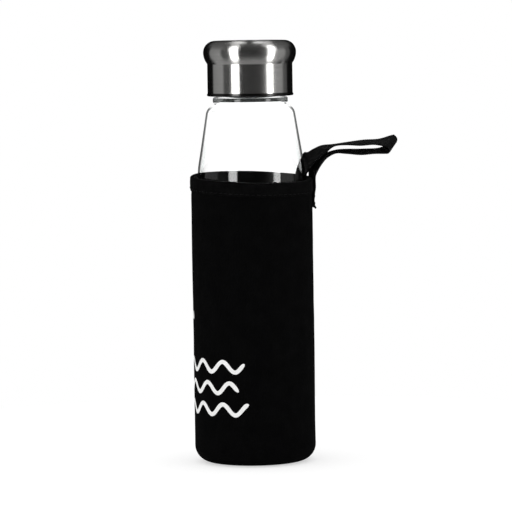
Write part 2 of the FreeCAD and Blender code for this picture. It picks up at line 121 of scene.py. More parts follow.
def rounded(corners, step=0.35):
    """A profile of (radius, height) points through corners of (radius, height, rounding), with arcs."""
    points = []
    count = len(corners)
    for index, corner in enumerate(corners):
        here = Vector(corner[:2])
        rounding = corner[2] if len(corner) > 2 else 0.0
        if not rounding or index in (0, count - 1):
            points.append(here)
            continue
        back = (Vector(corners[index - 1][:2]) - here).normalized()
        ahead = (Vector(corners[index + 1][:2]) - here).normalized()
        half = math.acos(clamp(back.dot(ahead), -1.0, 1.0)) / 2
        reach = rounding / math.tan(half)
        centre = here + (back + ahead).normalized() * (rounding / math.sin(half))
        first = here + back * reach - centre
        sweep = math.pi - 2 * half
        turn = 1 if back.y * ahead.x - back.x * ahead.y > 0 else -1
        parts = max(2, math.ceil(sweep * rounding / step))
        for part in range(parts + 1):
            angle = turn * sweep * part / parts
            points.append(centre + Vector((first.x * math.cos(angle) - first.y * math.sin(angle),
                                           first.x * math.sin(angle) + first.y * math.cos(angle))))
    return points


def divided(points, step):
    """The same profile with no gap between points longer than step."""
    out = [points[0]]
    for before, after in zip(points, points[1:]):
        parts = max(1, math.ceil((after - before).length / step))
        out.extend(before.lerp(after, part / parts) for part in range(1, parts + 1))
    return out


def arc(centre, radius, first, last, parts):
    """Points of an arc between two angles in degrees."""
    angles = [math.radians(first + (last - first) * part / parts) for part in range(parts + 1)]
    return [Vector((centre[0] + radius * math.cos(a), centre[1] + radius * math.sin(a))) for a in angles]


def new_object(name, points, faces, sharp=40.0):
    """A smooth mesh object from points in millimetres."""
    mesh = bpy.data.meshes.new(name)
    mesh.from_pydata([Vector(point) * MM for point in points], [], faces)
    mesh.update()
    mesh.polygons.foreach_set("use_smooth", [True] * len(mesh.polygons))
    mesh.set_sharp_from_angle(angle=math.radians(sharp))
    made = bpy.data.objects.new(name, mesh)
    bpy.context.scene.collection.objects.link(made)
    return made


def lathe(name, profile, segments, shape=None, closed=False, sharp=40.0):
    """A turned shell. shape moves a point of (radius, angle, height, number of its ring). A profile that
    isn't closed ends on the axis."""
    points = []
    rings = []
    for ring_index, spot in enumerate(profile):
        if spot[0] < 1e-6 and not closed:
            rings.append([len(points)])
            points.append((0.0, 0.0, spot[1]))
            continue
        ring = []
        for index in range(segments):
            angle = 2 * math.pi * index / segments
            radius, height = spot[0], spot[1]
            if shape:
                radius, height = shape(radius, angle, height, ring_index)
            ring.append(len(points))
            points.append((radius * math.cos(angle), radius * math.sin(angle), height))
        rings.append(ring)
    pairs = list(zip(rings, rings[1:])) + ([(rings[-1], rings[0])] if closed else [])
    faces = []
    for lower, upper in pairs:
        for index in range(segments):
            after = (index + 1) % segments
            if len(lower) == 1 and len(upper) == 1:
                continue
            if len(lower) == 1:
                faces.append((lower[0], upper[after], upper[index]))
            elif len(upper) == 1:
                faces.append((lower[index], lower[after], upper[0]))
            else:
                faces.append((lower[index], lower[after], upper[after], upper[index]))
    return new_object(name, points, faces, sharp)


def tube(path, radius, sides=8):
    """Points and faces of a closed tube along a path, thinner at its two ends."""
    points = []
    faces = []
    end_share = 0.55
    last = len(path) - 1
    for index, spot in enumerate(path):
        way = (path[min(index + 1, last)] - path[max(index - 1, 0)]).normalized()
        side = way.orthogonal().normalized()
        other = way.cross(side)
        size = radius * (end_share if index in (0, last) else 1.0)
        for part in range(sides):
            angle = 2 * math.pi * part / sides
            points.append(spot + side * (size * math.cos(angle)) + other * (size * math.sin(angle)))
    for index in range(last):
        for part in range(sides):
            after = (part + 1) % sides
            low, high = index * sides, (index + 1) * sides
            faces.append((low + part, low + after, high + after, high + part))
    faces.append(tuple(reversed(range(sides))))
    faces.append(tuple(last * sides + part for part in range(sides)))
    return points, faces


def tubes(name, paths, radius):
    """One object of many stitches."""
    points = []
    faces = []
    for path in paths:
        more, sheets = tube(path, radius)
        faces.extend(tuple(len(points) + index for index in face) for face in sheets)
        points.extend(more)
    return new_object(name, points, faces)


def round_axis(radius, degrees, height):
    """A place round the axis."""
    angle = math.radians(degrees)
    return Vector((radius * math.cos(angle), radius * math.sin(angle), height))


def degrees_between(turn, other):
    """The turn from other to turn, between -180 and 180."""
    return (turn - other + 180) % 360 - 180


def way_from(angle, turn, radius):
    """How far it is round a wall of that radius from a turn in degrees to an angle in radians."""
    return math.radians(degrees_between(math.degrees(angle), turn)) * radius


# Materials

def node(tree, kind, inputs=None, **settings):
    """A shader node with its settings, and its inputs set or linked."""
    made = tree.nodes.new(kind)
    for key, value in settings.items():
        setattr(made, key, value)
    for key, value in (inputs or {}).items():
        if isinstance(value, bpy.types.NodeSocket):
            tree.links.new(value, made.inputs[key])
        else:
            made.inputs[key].default_value = value
    return made


def maths(tree, operation, first, second=0.0):
    """One sum of two values. A function of one value ignores the second."""
    return node(tree, "ShaderNodeMath", {0: first, 1: second}, operation=operation).outputs[0]


def times(tree, value, factor):
    """The value times the factor."""
    return maths(tree, "MULTIPLY", value, factor)


def weighted(tree, first, first_share, second, second_share):
    """Two values added, each times its share."""
    return maths(tree, "ADD", times(tree, first, first_share), times(tree, second, second_share))


def wave(tree, value, length):
    """A sine of the value, with a wave's length in millimetres."""
    return maths(tree, "SINE", times(tree, value, 2 * math.pi / (length * MM)))


def remap(tree, value, low, high, first=0.0, last=1.0, kind="LINEAR"):
    """The value's way from low to high as a way from first to last, held at both ends."""
    ends = {"Value": value, "From Min": low, "From Max": high, "To Min": first, "To Max": last}
    return node(tree, "ShaderNodeMapRange", ends, interpolation_type=kind).outputs[0]


def climb(tree, height, low, high, first=0.0, last=1.0):
    """A value that goes from first to last between two heights in millimetres."""
    return remap(tree, height, low * MM, high * MM, first, last)


def new_material(name, **constants):
    """A Principled material with its constant inputs set, and its tree and shader."""
    made = bpy.data.materials.new(name)
    made.use_nodes = True
    tree = made.node_tree
    shader = tree.nodes["Principled BSDF"]
    for key, value in constants.items():
        shader.inputs[key.replace("_", " ")].default_value = value
    return made, tree, shader


def feed(tree, shader, **outputs):
    """Links outputs to the shader's inputs, named with _ for a space."""
    for key, output in outputs.items():
        tree.links.new(output, shader.inputs[key.replace("_", " ")])


def colour_ramp(tree, factor, stops):
    """Colours or greys between stops of (place, colour)."""
    ramp = node(tree, "ShaderNodeValToRGB", {"Fac": factor})
    elements = ramp.color_ramp.elements
    while len(elements) < len(stops):
        elements.new(0.5)
    for element, (place, colour) in zip(elements, stops):
        element.position = place
        element.color = (*colour, 1) if isinstance(colour, tuple) else (colour, colour, colour, 1)
    return ramp.outputs["Color"]


def paint(tree, shader, tone, stops, grain, least, most):
    """Colours the shader by a tone between stops, and roughens it by a grain from least to most."""
    feed(tree, shader, Base_Color=colour_ramp(tree, tone, stops),
         Roughness=remap(tree, grain, 0.0, 1.0, least, most))


def object_place(tree):
    """The place on the object itself."""
    return node(tree, "ShaderNodeTexCoord").outputs["Object"]


def round_coordinates(tree, radius):
    """The way round the axis in metres at that radius, the height, and the place on the object."""
    place = object_place(tree)
    parts = node(tree, "ShaderNodeSeparateXYZ", {0: place})
    turn = maths(tree, "ARCTAN2", parts.outputs["Y"], parts.outputs["X"])
    return times(tree, turn, radius * MM), parts.outputs["Z"], place


def vector(tree, x, y, z=0.0):
    """A vector of three values."""
    return node(tree, "ShaderNodeCombineXYZ", {0: x, 1: y, 2: z}).outputs[0]


def noise_texture(tree, place, scale, detail=3.0, roughness=0.5):
    """Noise from 0 to 1 at a place."""
    return node(tree, "ShaderNodeTexNoise", {"Vector": place, "Scale": scale, "Detail": detail,
                                             "Roughness": roughness}).outputs["Fac"]


def bump(tree, shader, height, strength, distance):
    """Gives the shader a fine relief, with its distance in metres."""
    made = node(tree, "ShaderNodeBump", {"Height": height, "Strength": strength, "Distance": distance})
    feed(tree, shader, Normal=made.outputs["Normal"])


def glass_material(name, edge):
    """Clear glass. The wall hardly bends what is seen through it, and its colour darkens to edge where the eye
    looks
    along it: painted shade for the dark lines at its silhouettes. The finish at the top and the base refract
    fully.
    A coat on the outside of the wall reflects, less so on the shoulder, and a dark band of painted shade lies
    in the bead."""
    made, tree, shader = new_material(name, Transmission_Weight=1.0, Roughness=0.0, Coat_IOR=1.75,
                                      Coat_Roughness=0.0)
    height = node(tree, "ShaderNodeSeparateXYZ", {0: object_place(tree)}).outputs["Z"]
    finish = climb(tree, height, BEAD_FOOT + 0.6, BEAD_FOOT + 1.2)
    base = climb(tree, height, 16.0, 8.0)
    thick = maths(tree, "MAXIMUM", finish, base)
    surface = node(tree, "ShaderNodeNewGeometry")
    shine = climb(tree, height, 168.0, 185.0, 1.0, 0.25)
    front = maths(tree, "SUBTRACT", 1.0, surface.outputs["Backfacing"])
    outside = maths(tree, "MAXIMUM", maths(tree, "SUBTRACT", front, thick), 0.0)
    # Painted shade: above the bead's foot the facing is raised, so more of the finish is darkened near its
    # edges.
    finish_edge_shade_boost = climb(tree, height, BEAD_FOOT - 0.3, BEAD_FOOT + 0.3, 0.0, 0.24)
    facing = maths(tree, "ADD", node(tree, "ShaderNodeLayerWeight", {"Blend": 0.5}).outputs["Facing"], finish_edge_shade_boost)
    upright = node(tree, "ShaderNodeSeparateXYZ", {0: surface.outputs["Normal"]}).outputs["Z"]
    level = remap(tree, maths(tree, "ABSOLUTE", upright), 0.6, 0.85)
    # Painted shade: where the eye looks along the wall, the colour falls towards edge in place of the dark
    # silhouette lines. level keeps upright faces clear of it.
    along = remap(tree, facing, 0.66, 0.75, 1.0, 0.0)
    # Painted shade: the bead's colour falls to a near-black band in place of its dark refraction.
    bead_painted_shade = times(tree, climb(tree, height, BEAD_FOOT + 0.4, BEAD_FOOT + 0.7),
                 climb(tree, height, BEAD_TOP + 0.5, BEAD_TOP + 0.1))
    half_clear = maths(tree, "ADD", times(tree, maths(tree, "MAXIMUM", along, level), 0.5), 0.5)
    # The colour is clear white, with painted shade at the silhouettes and in the bead.
    clear_with_painted_shade = colour_ramp(tree, maths(tree, "SUBTRACT", half_clear, bead_painted_shade), [
        (0.0, (0.02, 0.022, 0.021)), (0.5, (edge, edge * 1.03, edge * 1.02)), (1.0, (1.0, 1.0, 1.0))])
    feed(tree, shader, IOR=remap(tree, thick, 0.0, 1.0, WALL_BEND, GLASS_BEND),
         Coat_Weight=times(tree, shine, outside), Base_Color=clear_with_painted_shade)
    return made


def steel_material():
    """Satin steel brushed round the axis, its colour darkened in its rolled hem as painted shade."""
    made, tree, shader = new_material("brushed_steel", Metallic=1.0, Anisotropic=1.0,
                                      Anisotropic_Rotation=0.25)
    along, height, place = round_coordinates(tree, SKIRT_RADIUS)
    scratches = vector(tree, times(tree, along, 60.0), 0.0, times(tree, height, 9000.0))
    bands = vector(tree, times(tree, along, 30.0), 0.0, times(tree, height, 1500.0))
    fine = noise_texture(tree, scratches, 1.0, 4.0, 0.6)
    broad = noise_texture(tree, bands, 1.0, 2.0)
    cloud = noise_texture(tree, place, 90.0, 3.0)
    tone = colour_ramp(tree, weighted(tree, broad, 0.6, cloud, 0.4), [
        (0.3, (0.60, 0.595, 0.58)), (0.7, (0.70, 0.695, 0.68))])
    # Painted shade: below the top of the rolled hem the colour falls to 0.08 of its tone.
    hem = climb(tree, height, HEM_TOP - 0.03, HEM_TOP + 0.11, 0.08, 1.0)
    tone = node(tree, "ShaderNodeVectorMath", {0: tone, "Scale": hem}, operation="SCALE").outputs[0]
    round_z = node(tree, "ShaderNodeTangent", direction_type="RADIAL", axis="Z").outputs[0]
    feed(tree, shader, Base_Color=tone, Roughness=remap(tree, fine, 0.0, 1.0, 0.2, 0.27), Tangent=round_z)
    bump(tree, shader, fine, 0.06, 0.00004)
    return made


def plastic_material():
    """Moulded polypropylene."""
    made, tree, shader = new_material("moulded_plastic", Subsurface_Weight=0.15, Subsurface_Scale=0.002)
    place = object_place(tree)
    cloud = noise_texture(tree, place, 300.0, 4.0)
    paint(tree, shader, cloud, [(0.3, (0.80, 0.80, 0.78)), (0.7, (0.86, 0.86, 0.84))], cloud, 0.35, 0.5)
    bump(tree, shader, noise_texture(tree, place, 2500.0), 0.1, 0.00003)
    return made


def silicone_material():
    """Milky silicone rubber."""
    made, tree, shader = new_material("milky_silicone", Transmission_Weight=0.25, IOR=1.41)
    cloud = noise_texture(tree, object_place(tree), 500.0, 3.0)
    paint(tree, shader, cloud, [(0.3, (0.72, 0.73, 0.73)), (0.7, (0.80, 0.81, 0.80))], cloud, 0.5, 0.65)
    return made


def knit_height(tree, along, height):
    """The relief of a fine knit: loops that lean left and right in turn, with a groove between columns."""
    column = times(tree, along, math.pi / (KNIT_WALE * MM))
    groove = maths(tree, "ABSOLUTE", maths(tree, "SINE", column))
    lean = times(tree, groove, KNIT_COURSE * MM * 0.8)
    loops = wave(tree, maths(tree, "ADD", height, lean), KNIT_COURSE)
    return maths(tree, "ADD", times(tree, loops, 0.5), groove)


def neoprene_material():
    """Foam rubber faced with a fine black knit."""
    made, tree, shader = new_material("black_neoprene", Specular_IOR_Level=0.015, Sheen_Weight=0.004,
                                      Sheen_Roughness=0.45, Sheen_Tint=(0.7, 0.72, 0.75, 1))
    along, height, place = round_coordinates(tree, SLEEVE_RADIUS)
    knit = knit_height(tree, along, height)
    cloud = noise_texture(tree, place, 140.0, 5.0, 0.6)
    lint = noise_texture(tree, place, 2600.0, 2.0)
    # The colour is a random cloud of tone, and it also follows the knit's relief: painted shade, darker in the
    # grooves and between the loops.
    paint(tree, shader, weighted(tree, knit, 0.25, cloud, 0.9),
          [(0.3, (0.0008, 0.0008, 0.0009)), (0.95, (0.0026, 0.0026, 0.0027))], cloud, 0.68, 0.86)
    bump(tree, shader, weighted(tree, knit, 0.6, lint, 0.8), 0.45, 0.00012)
    return made


def binding_material():
    """Stretch tape with a fine square weave."""
    made, tree, shader = new_material("binding_tape", Specular_IOR_Level=0.02, Sheen_Weight=0.006,
                                      Sheen_Roughness=0.4)
    along, height, place = round_coordinates(tree, SLEEVE_RADIUS)
    cloud = noise_texture(tree, place, 220.0, 4.0)
    paint(tree, shader, cloud, [(0.3, (0.0009, 0.0009, 0.001)), (0.75, (0.0028, 0.0028, 0.0029))],
          cloud, 0.6, 0.78)
    bump(tree, shader, times(tree, wave(tree, along, 0.8), wave(tree, height, 0.9)), 0.4, 0.0001)
    return made


def webbing_material():
    """Black woven webbing. Its relief is in the mesh, and the yarns' fine strands are here."""
    made, tree, shader = new_material("black_webbing", Specular_IOR_Level=0.05, Sheen_Weight=0.015,
                                      Sheen_Roughness=0.35)
    place = node(tree, "ShaderNodeUVMap").outputs["UV"]
    parts = node(tree, "ShaderNodeSeparateXYZ", {0: place})
    drawn_out = vector(tree, times(tree, parts.outputs["X"], 900.0), times(tree, parts.outputs["Y"], 9000.0))
    strands = noise_texture(tree, drawn_out, 1.0, 3.0)
    cloud = noise_texture(tree, place, 160.0, 4.0)
    paint(tree, shader, weighted(tree, strands, 0.6, cloud, 0.4),
          [(0.3, (0.0012, 0.0012, 0.0013)), (0.7, (0.0065, 0.0065, 0.0068))], strands, 0.45, 0.7)
    bump(tree, shader, strands, 0.3, 0.00008)
    return made


def thread_material():
    """Black sewing thread."""
    made, tree, shader = new_material("black_thread", Specular_IOR_Level=0.04, Sheen_Weight=0.01)
    twist = noise_texture(tree, object_place(tree), 2200.0, 2.0)
    paint(tree, shader, twist, [(0.3, (0.0015, 0.0015, 0.0016)), (0.7, (0.006, 0.006, 0.0062))],
          twist, 0.4, 0.6)
    return made


def ink_material():
    """White transfer print that follows the knit a little."""
    made, tree, shader = new_material("white_ink", Specular_IOR_Level=0.3)
    along, height, place = round_coordinates(tree, SLEEVE_RADIUS)
    cloud = noise_texture(tree, place, 260.0, 4.0)
    specks = noise_texture(tree, place, 1900.0, 3.0, 0.7)
    paint(tree, shader, weighted(tree, cloud, 0.5, specks, 0.5),
          [(0.3, (0.74, 0.74, 0.73)), (0.55, (0.86, 0.86, 0.855))], cloud, 0.5, 0.7)
    bump(tree, shader, knit_height(tree, along, height), 0.2, 0.00006)
    return made


def floor_material():
    """A pale floor that merges with the backdrop and takes a faint shadow. Mirrors see it dimmer."""
    made, tree, shader = new_material("pale_floor", Roughness=0.9, Specular_IOR_Level=0.0,
                                      Emission_Strength=0.55)
    mirrored = node(tree, "ShaderNodeLightPath").outputs["Is Glossy Ray"]
    feed(tree, shader, Base_Color=colour_ramp(tree, mirrored, [(0.0, 0.55), (1.0, 0.32)]),
         Emission_Color=colour_ramp(tree, mirrored, [(0.0, 1.0), (1.0, 0.0)]))
    return made


# The pieces

def dress(piece, material, body, slot, *nodes):
    """Gives a piece its finish and its body, and hides the CAD nodes that it stands for."""
    piece.data.materials.clear()
    piece.data.materials.append(material)
    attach(piece, body)
    if nodes:
        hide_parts(*nodes)


def ridge(distance, half_root, half_crest):
    """The height share of a screw ridge at a distance from its middle line."""
    return 1 - smooth(half_crest, half_root, abs(distance))


def thread_height(angle, height, start, root, crest):
    """The height share of the whole screw ridge at a place on the wall, fading in and out at its ends."""
    best = 0.0
    run_out = 0.02
    fade_length = 0.05
    for lap in range(-1, 3):
        way = (angle / (2 * math.pi)) + lap
        if -run_out <= way <= THREAD_TURNS + run_out:
            fade = smooth(-run_out, fade_length, way) * (
                1 - smooth(THREAD_TURNS - fade_length, THREAD_TURNS + run_out, way))
            best = max(best, fade * ridge(height - start - THREAD_PITCH * way, root / 2, crest / 2))
    return best


def make_glass():
    """The glass, turned, with its screw thread and a slightly uneven inside."""
    inside = GLASS_RADIUS - GLASS_SKIN
    outer = rounded([
        (0, PUNT_HEIGHT), (16.5, PUNT_HEIGHT, 1.2), (19.0, GLASS_FOOT, 1.4), (GLASS_RADIUS, GLASS_FOOT, 7.6),
        (GLASS_RADIUS, SHOULDER_FOOT, 38.0), (23.5, 192.3, 6.0), (WAIST_RADIUS, 193.4, 0.5),
        (WAIST_RADIUS, 194.2, 0.25), (BEAD_RADIUS, BEAD_FOOT, 0.9), (BEAD_RADIUS, BEAD_TOP, 1.0),
        (18.95, 197.7, 0.3), (NECK_RADIUS, NECK_FOOT, 0.4), (NECK_RADIUS, LIP_HEIGHT, 1.1),
        (NECK_BORE, LIP_HEIGHT, 1.1),
    ])
    inner = rounded([(NECK_BORE, LIP_HEIGHT), (NECK_BORE, 191.9, 1.6), (21.8, 190.3, 4.4),
                     (inside, 158.0, 36.4), (inside, 6.3, 6.2), (0, 6.0)])
    profile = divided(outer[:-1] + inner[1:], 1.4)
    fine = []
    for before, after in zip(profile, profile[1:]):
        on_neck = (min(before.x, after.x) > NECK_RADIUS - 0.2 and before.x < NECK_RADIUS + 0.2
                   and 199 < before.y < 212)
        fine.extend(divided([before, after], 0.18 if on_neck else 2.0)[:-1])
    fine.append(profile[-1])

    def shape(radius, angle, height, ring):
        if abs(radius - NECK_RADIUS) < 0.05 and 199.0 < height < 212.3:
            radius += THREAD_RISE * thread_height(angle, height, THREAD_START, 2.0, 0.9)
        elif 16 < radius < GLASS_RADIUS - 1 and 8 < height < 190:
            place = Vector((math.cos(angle) * 1.3, math.sin(angle) * 1.3, height * 0.028))
            radius += 0.07 * noise.noise(place)
        return radius, height

    piece = lathe("glass_body", fine, 256, shape)
    dress(piece, glass_material("clear_glass", 0.13), "bottle", "glass", "glass_bottle")
    piece.data.materials.append(glass_material("clear_glass_inside", 0.9))
    for face in piece.data.polygons:
        outward = Vector((face.center.x, face.center.y, 0))
        on_axis = outward.length < 0.5 * MM
        if on_axis or face.normal.dot(outward.normalized() + Vector((0, 0, -1))) < 0:
            face.material_index = 1


def cap_profile(inset):
    """The cap's outline from its top centre to the foot of its crease, moved in by the inset."""
    upper = arc((CROWN_RADIUS - CROWN_ROUND, CROWN_HEIGHT), CROWN_ROUND - inset, 90, 0, 18)
    half = math.hypot(CROWN_RADIUS - SKIRT_RADIUS, CROWN_HEIGHT - CREASE_HEIGHT) / 2
    way = Vector((SKIRT_RADIUS - CROWN_RADIUS, CREASE_HEIGHT - CROWN_HEIGHT)).normalized()
    middle = Vector(((SKIRT_RADIUS + CROWN_RADIUS) / 2, (CREASE_HEIGHT + CROWN_HEIGHT) / 2))
    centre = middle + Vector((way.y, -way.x)) * math.sqrt(CROWN_FLARE ** 2 - half ** 2)
    first = math.degrees(math.atan2(CROWN_HEIGHT - centre.y, CROWN_RADIUS - centre.x))
    last = math.degrees(math.atan2(CREASE_HEIGHT - centre.y, SKIRT_RADIUS - centre.x))
    lower = arc(centre, CROWN_FLARE - inset, first, last, 14)
    dome = [Vector(((CROWN_RADIUS - CROWN_ROUND) * share, CAP_TOP - inset))
            for share in (0.0, 0.12, 0.25, 0.4, 0.55, 0.7, 0.85)]
    skirt = [Vector((SKIRT_RADIUS - inset, CREASE_HEIGHT - 0.05))]
    return dome + upper + lower[1:-1] + skirt


def make_cap():
    """The steel cap: crown, crease, skirt and rolled hem."""
    inside = SKIRT_RADIUS - CAP_SKIN
    hem = arc((SKIRT_RADIUS - 0.32, CAP_FOOT + HEM_ROUND), HEM_ROUND, 55, -90, 9)
    rolled = [Vector((SKIRT_RADIUS, HEM_TOP))] + hem
    rolled += [Vector((inside, CAP_FOOT + 0.02)), Vector((inside - 0.02, CAP_FOOT + 1.1))]
    profile = divided(cap_profile(0.0) + rolled + list(reversed(cap_profile(CAP_SKIN))), 1.6)
    piece = lathe("steel_cap", profile, 192, sharp=30.0)
    dress(piece, steel_material(), "cap", "cap_steel", "cap_shell")


def make_liner():
    """The moulded insert, with its thread inside and its snap rim behind the crease."""
    wall = SKIRT_RADIUS - CAP_SKIN - 0.04
    snap = wall + 0.2
    profile = rounded([(0, LINER_CEILING), (LINER_BORE, LINER_CEILING, 0.4), (LINER_BORE, LINER_FOOT, 0.5),
                       (wall, LINER_FOOT, 0.4), (wall, CREASE_HEIGHT, 0.3), (snap, CREASE_HEIGHT + 0.7, 0.3),
                       (snap, LINER_TOP, 0.3), (0, LINER_TOP)])
    start = THREAD_START - THREAD_PITCH / 2

    def shape(radius, angle, height, ring):
        if abs(radius - LINER_BORE) < 0.05 and 199.5 < height < 212.5:
            radius -= THREAD_RISE * thread_height(angle, height, start, 1.4, 0.7)
        return radius, height

    piece = lathe("thread_liner", divided(profile, 0.22), 192, shape)
    dress(piece, plastic_material(), "cap", "liner_plastic", "cap_liner")


def make_seal():
    """The silicone ring between the lip and the liner."""
    foot = LIP_HEIGHT + 0.1
    top = LINER_CEILING - 0.06
    start = (16.5, foot)
    profile = rounded([start, (SEAL_OUTER, foot, 0.3), (SEAL_OUTER, top, 0.3), (SEAL_INNER, top, 0.3),
                       (SEAL_INNER, foot, 0.3), start], 0.12)
    piece = lathe("silicone_seal", divided(profile[:-1], 0.5), 128, closed=True)
    dress(piece, silicone_material(), "seal", "silicone", "cap_seal")


def rim_drop(radius, angle, share=1.0):
    """How far the sleeve's top edge sits above its middle height. It falls towards +X and the front."""
    tilt = radius * (RIM_RISE * math.sin(angle) - RIM_FALL * math.cos(angle))
    return (tilt + 0.12 * math.sin(3 * angle + 0.6) + 0.08 * math.sin(5 * angle)) * share


def sleeve_bulge(angle, height):
    """Small uneven places in the stretched foam, in millimetres."""
    place = Vector((math.cos(angle) * 1.1, math.sin(angle) * 1.1, height * 0.022))
    fine = Vector((math.cos(angle) * 4.0, math.sin(angle) * 4.0, height * 0.11))
    return 0.16 * noise.noise(place) + 0.05 * noise.noise(fine)


def sleeve_surface(angle, height):
    """The radius of the sleeve's outer surface on its straight part."""
    seam = 0.28 * math.exp(-(way_from(angle, SEAM_TURN, SLEEVE_RADIUS) / 0.55) ** 2)
    squeeze = 0.12 * math.exp(-((height - (SLEEVE_EDGE - BINDING_DROP - 0.8)) / 1.2) ** 2)
    return SLEEVE_RADIUS - 0.05 + sleeve_bulge(angle, height) - seam - squeeze


def corner_edge(steps):
    """Foam's cut edge at the bottom seam, through steps of (depth under the corner's surface, turn)."""
    return [Vector((SLEEVE_RADIUS - SLEEVE_CORNER + (SLEEVE_CORNER - depth) * math.cos(math.radians(turn)),
                    SLEEVE_CORNER + (SLEEVE_CORNER - depth) * math.sin(math.radians(turn))))
            for depth, turn in steps]


def make_sleeve():
    """The neoprene tube, drawn in at its bottom corner and hollowed inside for the webbing's inner end."""
    centre = (SLEEVE_RADIUS - SLEEVE_CORNER, SLEEVE_CORNER)
    outer_corner = arc(centre, SLEEVE_CORNER, -43.5, 0, 14)
    inner_corner = arc(centre, SLEEVE_CORNER - SLEEVE_SKIN, 0, -44.5, 8)
    edge = corner_edge([(2.4, -44.6), (1.4, -44.6), (0.8, -44.8), (0.4, -44.6), (0.12, -44.2)])
    profile = divided(edge + outer_corner + [Vector((SLEEVE_RADIUS, SLEEVE_EDGE)),
                                             Vector((SLEEVE_INNER, SLEEVE_EDGE))] + inner_corner, 1.6)

    def shape(radius, angle, height, ring):
        tall = smooth(110, SLEEVE_EDGE, height)
        if radius > SLEEVE_RADIUS - 0.5 and height > SLEEVE_CORNER * 0.4:
            blend = smooth(SLEEVE_CORNER * 0.4, SLEEVE_CORNER * 1.6, height)
            radius += (sleeve_surface(angle, height) - SLEEVE_RADIUS) * blend
        elif abs(radius - SLEEVE_INNER) < 0.05:
            across = abs(way_from(angle, INNER_END_TURN, SLEEVE_INNER)) - STRAP_WIDTH / 2
            radius += 0.78 * smooth(138, 140, height) * (1 - smooth(-0.1, 0.9, across))
        return radius, height + rim_drop(radius, angle, tall)

    piece = lathe("sleeve_tube", profile, 288, shape, closed=True)
    dress(piece, materials["neoprene"], "sleeve", "neoprene", "sleeve_wall")


def make_sleeve_base():
    """The round neoprene panel, with its turned-up corner."""
    centre = (SLEEVE_RADIUS - SLEEVE_CORNER, SLEEVE_CORNER)
    corner = arc(centre, SLEEVE_CORNER, -90, -46.5, 12)
    inner = arc(centre, SLEEVE_CORNER - SLEEVE_SKIN, -45.5, -90, 8)
    edge = corner_edge([(0.12, -45.8), (0.4, -45.4), (0.8, -45.2), (1.4, -45.4), (2.4, -45.4)])
    profile = divided([Vector((0, 0))] + corner + edge + inner + [Vector((0, SLEEVE_SKIN))], 1.6)

    def shape(radius, angle, height, ring):
        if height < 1.0 and radius < centre[0] - 0.5:
            place = Vector((radius * math.cos(angle) * 0.09, radius * math.sin(angle) * 0.09, 4.0))
            height += 0.10 * abs(noise.noise(place)) * smooth(centre[0], centre[0] - 4, radius)
        return radius, height

    piece = lathe("sleeve_floor", profile, 288, shape)
    dress(piece, materials["neoprene"], "sleeve", "neoprene", "sleeve_base")


def binding_surface(angle, share):
    """The outer radius of the binding, puffed half way up. share is 0 at its lower edge and 1 on top."""
    puff = 0.5 * math.sin(math.pi * clamp(0.12 + share * 0.76)) ** 0.6
    place = Vector((math.cos(angle) * 6, math.sin(angle) * 6, share * 2))
    wrinkle = 0.05 * math.sin(61 * angle) * (1 - share) + 0.05 * noise.noise(place)
    return SLEEVE_RADIUS + 0.02 + puff + wrinkle


def make_binding():
    """Tape folded over the sleeve's top edge, as a closed U in section."""
    foot = SLEEVE_EDGE - BINDING_DROP
    top = SLEEVE_EDGE + 0.46
    fold = SLEEVE_RADIUS - 1.05
    skin = SLEEVE_RADIUS + 0.02
    legs = 12
    outside = [Vector((SLEEVE_RADIUS + 0.5, foot + (top - 1.2 - foot) * part / legs))
               for part in range(legs + 1)]
    over = [Vector((fold + (point.x - fold) * 1.24, point.y))
            for point in arc((fold, top - 1.25), 1.25, 0, 90, 6)[1:]]
    inward = arc((SLEEVE_INNER + 0.55, top - 0.95), 0.95, 90, 180, 6)
    inside = [Vector((SLEEVE_INNER - 0.4, top - 1.0 - (BINDING_DROP - 0.6) * part / 6))
              for part in range(1, 7)]
    back = [Vector((SLEEVE_INNER - 0.04, foot + 0.1)), Vector((SLEEVE_INNER - 0.03, SLEEVE_EDGE)),
            Vector((skin, SLEEVE_EDGE)), Vector((skin, foot))]

    def shape(radius, angle, height, ring):
        if ring < len(outside):
            share = ring / len(outside)
            radius = binding_surface(angle, share)
            height += 0.12 * math.sin(17 * angle) * (1 - share) ** 4
        elif radius < SLEEVE_INNER + 0.9:
            across = abs(way_from(angle, INNER_END_TURN, SLEEVE_INNER)) - STRAP_WIDTH / 2
            radius += 0.82 * (1 - smooth(-0.1, 1.1, across))
        return radius, height + rim_drop(radius, angle)

    piece = lathe("edge_binding", outside + over + inward + inside + back, 384, shape, closed=True)
    dress(piece, materials["binding"], "sleeve", "binding_tape", "rim_binding")


def sew(name, paths, radius, stitches):
    """Makes one piece of many stitches, in thread."""
    dress(tubes(name, paths, radius), materials["thread"], "sleeve", "sewing_thread", stitches)


def make_rim_stitches():
    """Stitches round the binding's lower edge, left out under the webbing."""
    height = SLEEVE_EDGE - BINDING_DROP + 1.2
    count = 69
    paths = []
    for index in range(count):
        middle = 360 * index / count
        if abs(degrees_between(middle, OUTER_END_TURN)) < 15.5:
            continue
        path = []
        for part in range(7):
            share = part / 6 - 0.5
            degrees = middle + share * 4.1
            surface = binding_surface(math.radians(degrees), 0.16)
            depth = 0.10 - 0.42 * (abs(share) * 2) ** 3
            drop = rim_drop(surface, math.radians(degrees))
            path.append(round_axis(surface + depth, degrees, height + drop + share * 0.1))
        paths.append(path)
    sew("rim_sewing", paths, 0.2, "rim_stitches")


def make_side_stitches():
    """Stitches across the side seam, leaning up and down in turn."""
    foot = SLEEVE_CORNER + 3
    paths = []
    for index in range(46):
        height = foot + index * 2.6
        lean = 0.55 if index % 2 else -0.55
        path = []
        for part in range(7):
            share = part / 6 - 0.5
            degrees = SEAM_TURN + math.degrees(share * 3.2 / SLEEVE_RADIUS)
            surface = max(sleeve_surface(math.radians(degrees), height), SLEEVE_RADIUS - 0.3)
            depth = 0.13 - 0.5 * (abs(share) * 2) ** 4
            path.append(round_axis(surface + depth, degrees, height + lean * share * 2))
        paths.append(path)
    sew("side_sewing", paths, 0.19, "side_seam_stitches")


